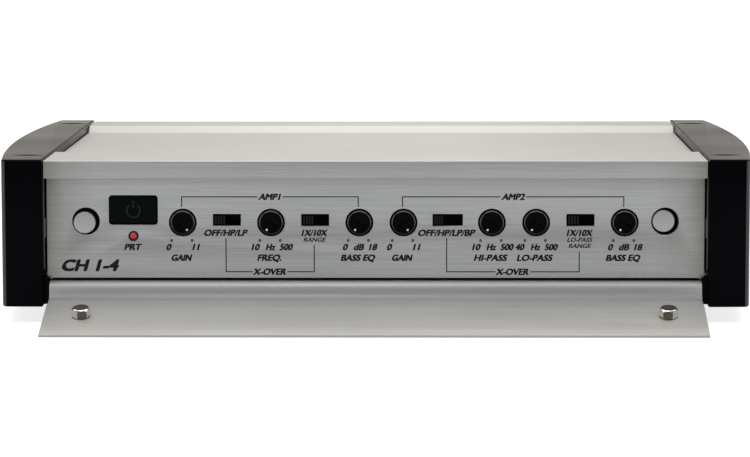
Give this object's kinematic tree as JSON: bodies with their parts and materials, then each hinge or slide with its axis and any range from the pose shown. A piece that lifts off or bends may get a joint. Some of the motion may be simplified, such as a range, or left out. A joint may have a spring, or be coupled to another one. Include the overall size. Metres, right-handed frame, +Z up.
{
  "type": "car amplifier",
  "caption": "Low wide car amplifier: recessed silver lid, gloss black end caps, brushed panel of trimmer knobs and slide switches, folded base with sloped screw flanges, rear terminals.",
  "frame": {"origin": "on the ground under the middle of the amplifier, at the level of the flanges' lowest edges", "axes": "+X to the right seen from the controls, +Y to the rear (terminals), +Z up; the control panel faces -Y"},
  "size_m": [0.3032, 0.2812, 0.0643],
  "materials": {
    "lid": "matte silver extrusion",
    "panel": "brushed along its length",
    "sheet": "folded grey sheet, fine grain",
    "cap": "gloss black moulding",
    "control": "black control moulding",
    "led": "clear red lens",
    "steel": "zinc-plated steel",
    "post": "satin silver",
    "board": "green solder mask",
    "copper": "enamelled copper winding",
    "sleeve": "dark heat-shrink sleeve",
    "package": "black moulded package",
    "terminal": "black glass-filled plastic",
    "fuse": "tinted blade fuse body"
  },
  "bodies": {
    "root": {"heatsink_lid": "lid", "base_plate": "sheet", "end_cap_left": "cap", "end_cap_right": "cap", "end_plate_left": "sheet", "end_plate_right": "sheet", "control_panel": "panel", "connector_panel": "panel", "mounting_screw_front_left": "steel", "mounting_screw_front_right": "steel", "mounting_screw_rear_left": "steel", "mounting_screw_rear_right": "steel", "power_window": "control", "protection_led": "led", "panel_post_left": "post", "panel_post_right": "post", "power_terminal_block": "terminal", "speaker_terminal_block": "terminal", "rca_jack_block": "terminal", "fuse_holder": "terminal", "circuit_board": "board", "board_standoff_left": "steel", "board_standoff_right": "steel", "toroid_transformer": "copper", "filter_choke": "copper", "storage_capacitor_1": "sleeve", "storage_capacitor_2": "sleeve", "storage_capacitor_3": "sleeve", "storage_capacitor_4": "sleeve", "power_transistor_front_left": "package", "power_transistor_front_right": "package", "power_transistor_rear_left": "package", "power_transistor_rear_right": "package", "transistor_clamp_front": "steel", "transistor_clamp_rear": "steel", "gain_1_pot": "control", "crossover_frequency_pot": "control", "bass_boost_1_pot": "control", "gain_2_pot": "control", "high_pass_frequency_pot": "control", "low_pass_frequency_pot": "control", "bass_boost_2_pot": "control", "crossover_mode_1_switch": "steel", "frequency_range_1_switch": "steel", "crossover_mode_2_switch": "steel", "frequency_range_2_switch": "steel"},
    "gain_1_knob": {"gain_1_knob": "control"},
    "crossover_frequency_knob": {"crossover_frequency_knob": "control"},
    "bass_boost_1_knob": {"bass_boost_1_knob": "control"},
    "gain_2_knob": {"gain_2_knob": "control"},
    "high_pass_frequency_knob": {"high_pass_frequency_knob": "control"},
    "low_pass_frequency_knob": {"low_pass_frequency_knob": "control"},
    "bass_boost_2_knob": {"bass_boost_2_knob": "control"},
    "crossover_mode_1_slider": {"crossover_mode_1_slider": "control"},
    "frequency_range_1_slider": {"frequency_range_1_slider": "control"},
    "crossover_mode_2_slider": {"crossover_mode_2_slider": "control"},
    "frequency_range_2_slider": {"frequency_range_2_slider": "control"},
    "fuse_upper": {"fuse_upper": "fuse"},
    "fuse_lower": {"fuse_lower": "fuse"}
  },
  "joints": [
    {"name": "gain_1_turn", "type": "hinge", "parent": "root", "child": "gain_1_knob", "pos_m": [-0.0751, -0.0992, 0.0394], "axis": [0, 1, 0], "range_deg": [-300, 0]},
    {"name": "crossover_frequency_turn", "type": "hinge", "parent": "root", "child": "crossover_frequency_knob", "pos_m": [-0.04064, -0.0992, 0.0394], "axis": [0, 1, 0], "range_deg": [0, 300]},
    {"name": "bass_boost_1_turn", "type": "hinge", "parent": "root", "child": "bass_boost_1_knob", "pos_m": [-0.00618, -0.0992, 0.0394], "axis": [0, 1, 0], "range_deg": [0, 300]},
    {"name": "gain_2_turn", "type": "hinge", "parent": "root", "child": "gain_2_knob", "pos_m": [0.01105, -0.0992, 0.0394], "axis": [0, 1, 0], "range_deg": [-300, 0]},
    {"name": "high_pass_frequency_turn", "type": "hinge", "parent": "root", "child": "high_pass_frequency_knob", "pos_m": [0.04551, -0.0992, 0.0394], "axis": [0, 1, 0], "range_deg": [0, 300]},
    {"name": "low_pass_frequency_turn", "type": "hinge", "parent": "root", "child": "low_pass_frequency_knob", "pos_m": [0.06274, -0.0992, 0.0394], "axis": [0, 1, 0], "range_deg": [0, 300]},
    {"name": "bass_boost_2_turn", "type": "hinge", "parent": "root", "child": "bass_boost_2_knob", "pos_m": [0.0972, -0.0992, 0.0394], "axis": [0, 1, 0], "range_deg": [0, 300]},
    {"name": "crossover_mode_1_slide", "type": "slide", "parent": "root", "child": "crossover_mode_1_slider", "axis": [1, 0, 0], "range_m": [0, 0.0054]},
    {"name": "frequency_range_1_slide", "type": "slide", "parent": "root", "child": "frequency_range_1_slider", "axis": [1, 0, 0], "range_m": [0, 0.0054]},
    {"name": "crossover_mode_2_slide", "type": "slide", "parent": "root", "child": "crossover_mode_2_slider", "axis": [1, 0, 0], "range_m": [0, 0.0071]},
    {"name": "frequency_range_2_slide", "type": "slide", "parent": "root", "child": "frequency_range_2_slider", "axis": [1, 0, 0], "range_m": [0, 0.0054]},
    {"name": "fuse_upper_pull", "type": "slide", "parent": "root", "child": "fuse_upper", "axis": [0, 1, 0], "range_m": [0, 0.012]},
    {"name": "fuse_lower_pull", "type": "slide", "parent": "root", "child": "fuse_lower", "axis": [0, 1, 0], "range_m": [0, 0.012]}
  ]
}
